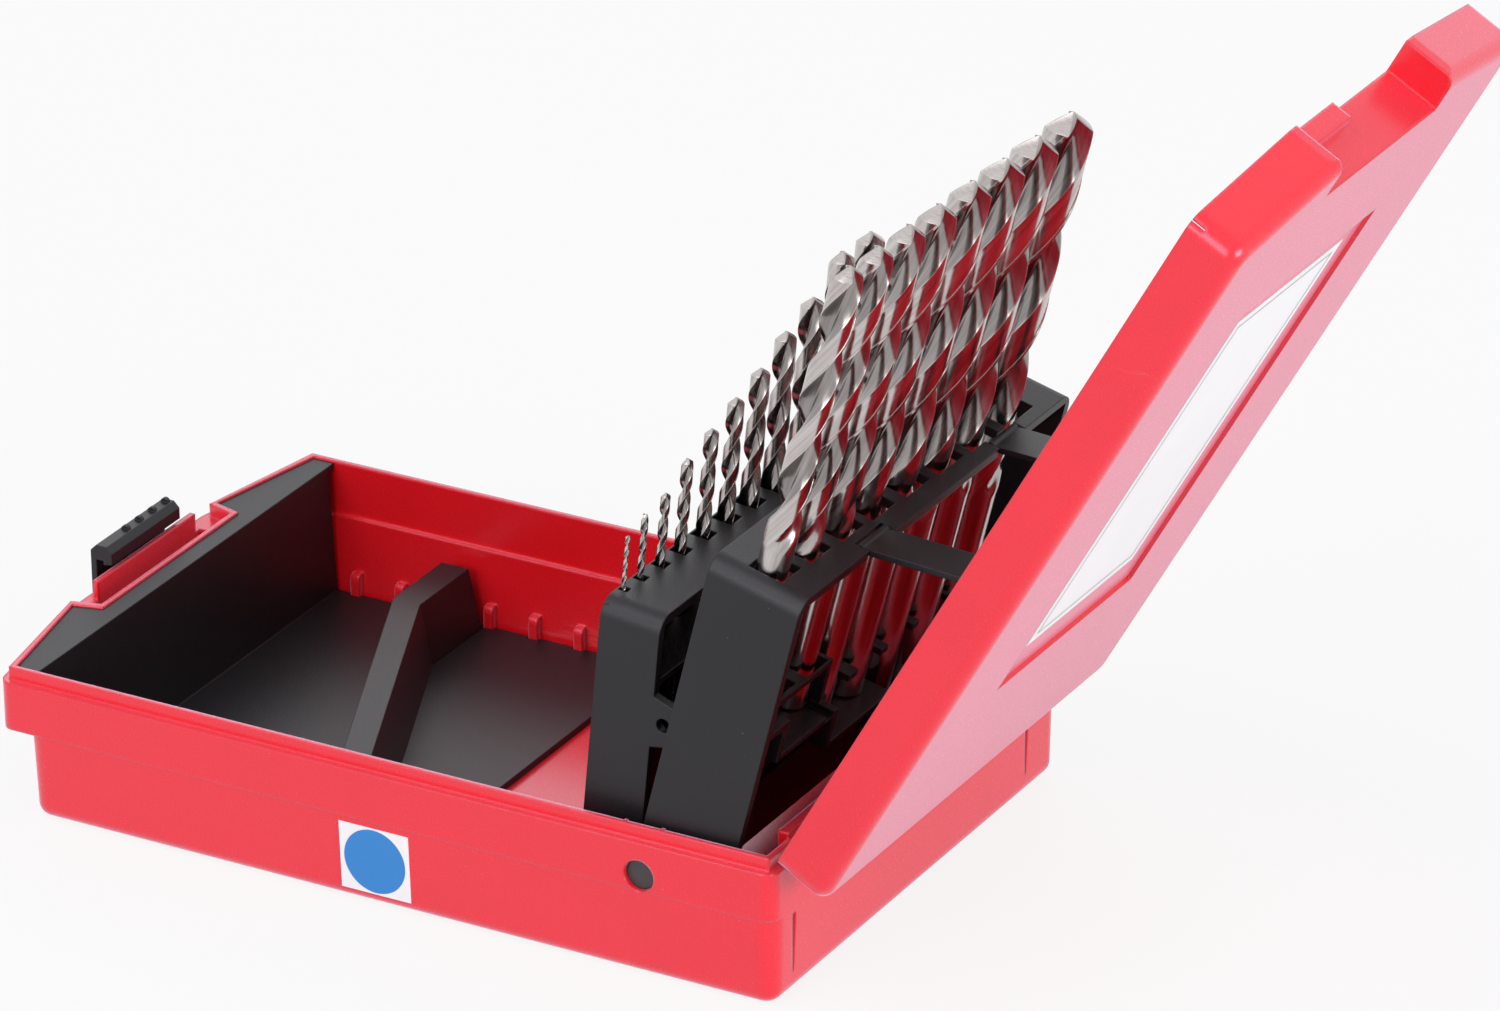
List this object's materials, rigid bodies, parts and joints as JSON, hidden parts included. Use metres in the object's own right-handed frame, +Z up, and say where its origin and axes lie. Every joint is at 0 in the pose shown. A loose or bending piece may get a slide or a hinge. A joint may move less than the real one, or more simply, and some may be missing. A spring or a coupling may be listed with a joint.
{
  "type": "drill bit case",
  "caption": "Hinged red case for twist drills: two folding racks rise with the lid on side pivots and lift straps, with a swinging clip at the front.",
  "frame": {"origin": "centre of the tub's underside, on the surface that it stands on", "axes": "+Y from the clip to the hinge, +Z up, +X to the right when the clip is nearest"},
  "size_m": [0.1156, 0.284, 0.1882],
  "materials": {
    "red_moulding": "satin moulded polypropylene, clear red",
    "black_moulding": "fine eroded black moulding",
    "steel_wire": "bright drawn steel",
    "pivot_stud": "dark grey moulded stud",
    "label_film": "printed film label, left blank",
    "ground_steel": "ground high speed steel"
  },
  "bodies": {
    "case_base": {"base_shell": "red_moulding", "front_insert": "black_moulding", "tip_rest": "black_moulding", "hinge_rod": "steel_wire", "latch_pin": "steel_wire", "rack_pivot_near": "pivot_stud", "rack_pivot_far": "pivot_stud", "side_label": "label_film"},
    "lid": {"lid_shell": "red_moulding", "lid_label": "label_film"},
    "latch": {"latch_clip": "black_moulding"},
    "rear_row": {"rear_rack": "black_moulding", "strap_pin_near": "steel_wire", "strap_pin_far": "steel_wire"},
    "front_row": {"front_rack": "black_moulding"},
    "strap_near": {"lift_strap_near": "black_moulding"},
    "strap_far": {"lift_strap_far": "black_moulding"},
    "bit_6_5": {"drill_6_5": "ground_steel"},
    "bit_7_0": {"drill_7_0": "ground_steel"},
    "bit_7_5": {"drill_7_5": "ground_steel"},
    "bit_8_0": {"drill_8_0": "ground_steel"},
    "bit_8_5": {"drill_8_5": "ground_steel"},
    "bit_9_0": {"drill_9_0": "ground_steel"},
    "bit_9_5": {"drill_9_5": "ground_steel"},
    "bit_10_0": {"drill_10_0": "ground_steel"},
    "bit_1_0": {"drill_1_0": "ground_steel"},
    "bit_1_5": {"drill_1_5": "ground_steel"},
    "bit_2_0": {"drill_2_0": "ground_steel"},
    "bit_2_5": {"drill_2_5": "ground_steel"},
    "bit_3_0": {"drill_3_0": "ground_steel"},
    "bit_3_5": {"drill_3_5": "ground_steel"},
    "bit_4_0": {"drill_4_0": "ground_steel"},
    "bit_4_5": {"drill_4_5": "ground_steel"},
    "bit_5_0": {"drill_5_0": "ground_steel"},
    "bit_5_5": {"drill_5_5": "ground_steel"},
    "bit_6_0": {"drill_6_0": "ground_steel"}
  },
  "joints": [
    {"name": "lid_hinge", "type": "hinge", "parent": "case_base", "child": "lid", "pos_m": [0, 0.08749, 0.02986], "axis": [-1, 0, 0], "range_deg": [-120, 0]},
    {"name": "latch_pivot", "type": "hinge", "parent": "case_base", "child": "latch", "pos_m": [0, -0.0944, 0.0208], "axis": [1, 0, 0], "range_deg": [-11, 35]},
    {"name": "rear_rack_fold", "type": "hinge", "parent": "case_base", "child": "rear_row", "pos_m": [0, 0.0579, 0.0218], "axis": [-1, 0, 0], "range_deg": [-104.9, 0]},
    {"name": "front_rack_fold", "type": "hinge", "parent": "case_base", "child": "front_row", "pos_m": [0, 0.0579, 0.0218], "axis": [-1, 0, 0], "range_deg": [-96.3, 0]},
    {"name": "near_strap_turn", "type": "hinge", "parent": "rear_row", "child": "strap_near", "pos_m": [0, 0.09011, 0.0853], "axis": [-1, 0, 0], "range_deg": [0, 102.3]},
    {"name": "far_strap_turn", "type": "hinge", "parent": "rear_row", "child": "strap_far", "pos_m": [0, 0.09011, 0.0853], "axis": [-1, 0, 0], "range_deg": [0, 102.3]},
    {"name": "bit_6_5_lift", "type": "slide", "parent": "rear_row", "child": "bit_6_5", "axis": [0, 0.2571, 0.9664], "range_m": [0, 0.0375]},
    {"name": "bit_7_0_lift", "type": "slide", "parent": "rear_row", "child": "bit_7_0", "axis": [0, 0.2571, 0.9664], "range_m": [0, 0.0455]},
    {"name": "bit_7_5_lift", "type": "slide", "parent": "rear_row", "child": "bit_7_5", "axis": [0, 0.2571, 0.9664], "range_m": [0, 0.0455]},
    {"name": "bit_8_0_lift", "type": "slide", "parent": "rear_row", "child": "bit_8_0", "axis": [0, 0.2571, 0.9664], "range_m": [0, 0.0535]},
    {"name": "bit_8_5_lift", "type": "slide", "parent": "rear_row", "child": "bit_8_5", "axis": [0, 0.2571, 0.9664], "range_m": [0, 0.0535]},
    {"name": "bit_9_0_lift", "type": "slide", "parent": "rear_row", "child": "bit_9_0", "axis": [0, 0.2571, 0.9664], "range_m": [0, 0.0615]},
    {"name": "bit_9_5_lift", "type": "slide", "parent": "rear_row", "child": "bit_9_5", "axis": [0, 0.2571, 0.9664], "range_m": [0, 0.0615]},
    {"name": "bit_10_0_lift", "type": "slide", "parent": "rear_row", "child": "bit_10_0", "axis": [0, 0.2571, 0.9664], "range_m": [0, 0.0695]},
    {"name": "bit_1_0_lift", "type": "slide", "parent": "front_row", "child": "bit_1_0", "axis": [0, 0.1097, 0.994], "range_m": [0, 0.0265]},
    {"name": "bit_1_5_lift", "type": "slide", "parent": "front_row", "child": "bit_1_5", "axis": [0, 0.1097, 0.994], "range_m": [0, 0.0301]},
    {"name": "bit_2_0_lift", "type": "slide", "parent": "front_row", "child": "bit_2_0", "axis": [0, 0.1097, 0.994], "range_m": [0, 0.0376]},
    {"name": "bit_2_5_lift", "type": "slide", "parent": "front_row", "child": "bit_2_5", "axis": [0, 0.1097, 0.994], "range_m": [0, 0.0411]},
    {"name": "bit_3_0_lift", "type": "slide", "parent": "front_row", "child": "bit_3_0", "axis": [0, 0.1097, 0.994], "range_m": [0, 0.0421]},
    {"name": "bit_3_5_lift", "type": "slide", "parent": "front_row", "child": "bit_3_5", "axis": [0, 0.1097, 0.994], "range_m": [0, 0.0478]},
    {"name": "bit_4_0_lift", "type": "slide", "parent": "front_row", "child": "bit_4_0", "axis": [0, 0.1097, 0.994], "range_m": [0, 0.0499]},
    {"name": "bit_4_5_lift", "type": "slide", "parent": "front_row", "child": "bit_4_5", "axis": [0, 0.1097, 0.994], "range_m": [0, 0.0504]},
    {"name": "bit_5_0_lift", "type": "slide", "parent": "front_row", "child": "bit_5_0", "axis": [0, 0.1097, 0.994], "range_m": [0, 0.0528]},
    {"name": "bit_5_5_lift", "type": "slide", "parent": "front_row", "child": "bit_5_5", "axis": [0, 0.1097, 0.994], "range_m": [0, 0.0538]},
    {"name": "bit_6_0_lift", "type": "slide", "parent": "front_row", "child": "bit_6_0", "axis": [0, 0.1097, 0.994], "range_m": [0, 0.0538]}
  ],
  "couplings": [
    {"joint": "rear_rack_fold", "follows": "lid_hinge", "ratio": 0.874},
    {"joint": "front_rack_fold", "follows": "lid_hinge", "ratio": 0.8025},
    {"joint": "near_strap_turn", "follows": "lid_hinge", "ratio": -0.852},
    {"joint": "far_strap_turn", "follows": "lid_hinge", "ratio": -0.852}
  ]
}
